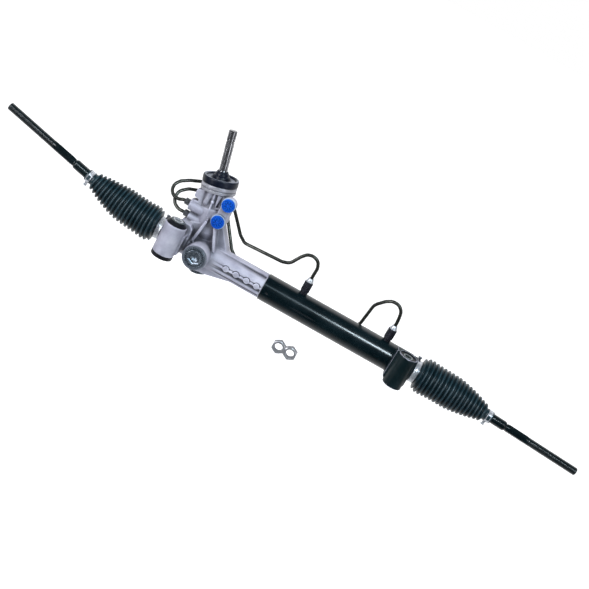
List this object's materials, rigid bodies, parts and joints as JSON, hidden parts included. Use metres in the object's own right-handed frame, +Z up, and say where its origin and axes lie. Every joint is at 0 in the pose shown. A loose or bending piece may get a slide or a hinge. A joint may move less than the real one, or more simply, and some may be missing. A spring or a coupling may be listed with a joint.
{
  "type": "steering rack",
  "caption": "Hydraulic rack-and-pinion steering gear with pinion tower, input shaft, transfer pipes, rubber boots and threaded tie rods, bolted to a crossmember.",
  "frame": {"origin": "midway between the two crossmember bolt holes, on the plane that the bush sleeves stand on", "axes": "+X along the rack to the vehicle side without the pinion, +Y from the bolts towards the rack, +Z up along the bolts, so the pinion tower stands up"},
  "size_m": [1.1493, 0.1678, 0.2615],
  "materials": {
    "cast_aluminium": "cast",
    "machined_aluminium": "machined",
    "black_gloss_paint": "gloss",
    "black_satin_paint": "satin",
    "black_rod_paint": "gloss",
    "black_rubber": "matte",
    "boot_rubber": "satin",
    "seal_rubber": "matte",
    "zinc_plate": "zinc plated",
    "olive_zinc": "zinc plated, grey green",
    "dark_nut": "dark plated",
    "olive_pipe": "dark olive coating",
    "bright_steel": "ground",
    "blue_plastic": "moulded",
    "ptfe": "smooth",
    "seat_plastic": "smooth"
  },
  "bodies": {
    "housing": {"rack_housing": "cast_aluminium", "cylinder_tube": "black_gloss_paint", "right_bracket": "black_satin_paint", "left_bush": "black_rubber", "left_bush_sleeve": "zinc_plate", "left_bush_washer": "zinc_plate", "right_bush": "black_rubber", "right_bush_sleeve": "zinc_plate", "inner_rack_seal": "seal_rubber", "inner_seal_retainer": "bright_steel", "end_bush": "bright_steel", "outer_rack_seal": "seal_rubber", "end_bush_retainer": "bright_steel", "yoke": "cast_aluminium", "yoke_liner": "ptfe", "yoke_o_ring": "seal_rubber", "yoke_spring": "bright_steel", "yoke_plug": "olive_zinc", "pinion_lower_bearing": "bright_steel", "pinion_bottom_cap": "olive_zinc", "pinion_upper_bearing": "bright_steel", "pinion_seal": "seal_rubber", "input_bearing": "bright_steel", "tower_cover": "machined_aluminium", "input_shaft_seal": "seal_rubber", "dust_cap": "black_rubber", "port_plug_upper": "blue_plastic", "port_plug_lower": "blue_plastic", "near_pipe": "olive_pipe", "far_pipe": "olive_pipe", "tower_pipe_nuts": "dark_nut", "cylinder_port_bosses": "dark_nut", "cylinder_port_nuts": "dark_nut", "pipe_collars": "zinc_plate", "left_boot": "boot_rubber", "right_boot": "boot_rubber", "left_large_clamp": "zinc_plate", "right_large_clamp": "zinc_plate", "tie_rod_nuts": "zinc_plate"},
    "rack": {"rack_bar": "bright_steel", "piston": "bright_steel", "piston_ring": "ptfe", "left_socket": "bright_steel", "right_socket": "bright_steel"},
    "pinion": {"pinion": "bright_steel", "pinion_nut": "zinc_plate", "pinion_inner_race": "bright_steel", "valve_sleeve": "bright_steel", "valve_sleeve_rings": "ptfe", "torsion_bar": "bright_steel"},
    "input_shaft": {"input_shaft": "bright_steel"},
    "left_ball_seat": {"left_ball_seat": "seat_plastic"},
    "right_ball_seat": {"right_ball_seat": "seat_plastic"},
    "left_tie_rod": {"left_tie_rod": "black_rod_paint", "left_small_clamp": "zinc_plate"},
    "right_tie_rod": {"right_tie_rod": "black_rod_paint", "right_small_clamp": "zinc_plate"}
  },
  "joints": [
    {"name": "rack_slide", "type": "slide", "parent": "housing", "child": "rack", "axis": [1, 0, 0], "range_m": [-0.065, 0.065], "deforming": ["left_boot", "right_boot"]},
    {"name": "pinion_turn", "type": "hinge", "parent": "housing", "child": "pinion", "pos_m": [-0.17, 0.05636, 0.029], "axis": [-0.213, 0, 0.977], "range_deg": [-534, 534]},
    {"name": "input_twist", "type": "hinge", "parent": "pinion", "child": "input_shaft", "pos_m": [-0.1913, 0.05636, 0.12671], "axis": [-0.213, 0, 0.977], "range_deg": [-5, 5], "stiffness_Nm_per_rad": 80},
    {"name": "left_ball_tip", "type": "hinge", "parent": "rack", "child": "left_ball_seat", "pos_m": [-0.316, 0.042, 0.029], "axis": [0, 1, 0], "range_deg": [-33.1, 6.9], "deforming": ["left_boot"]},
    {"name": "left_ball_swing", "type": "hinge", "parent": "left_ball_seat", "child": "left_tie_rod", "pos_m": [-0.316, 0.042, 0.029], "axis": [0.2267, 0, 0.974], "range_deg": [-10, 10], "deforming": ["left_boot"]},
    {"name": "right_ball_tip", "type": "hinge", "parent": "rack", "child": "right_ball_seat", "pos_m": [0.316, 0.042, 0.029], "axis": [0, 1, 0], "range_deg": [-23.6, 16.4], "deforming": ["right_boot"]},
    {"name": "right_ball_swing", "type": "hinge", "parent": "right_ball_seat", "child": "right_tie_rod", "pos_m": [0.316, 0.042, 0.029], "axis": [0.0628, 0, 0.998], "range_deg": [-10, 10], "deforming": ["right_boot"]}
  ],
  "couplings": [
    {"joint": "pinion_turn", "follows": "rack_slide", "rad_per_m": 142.86}
  ]
}
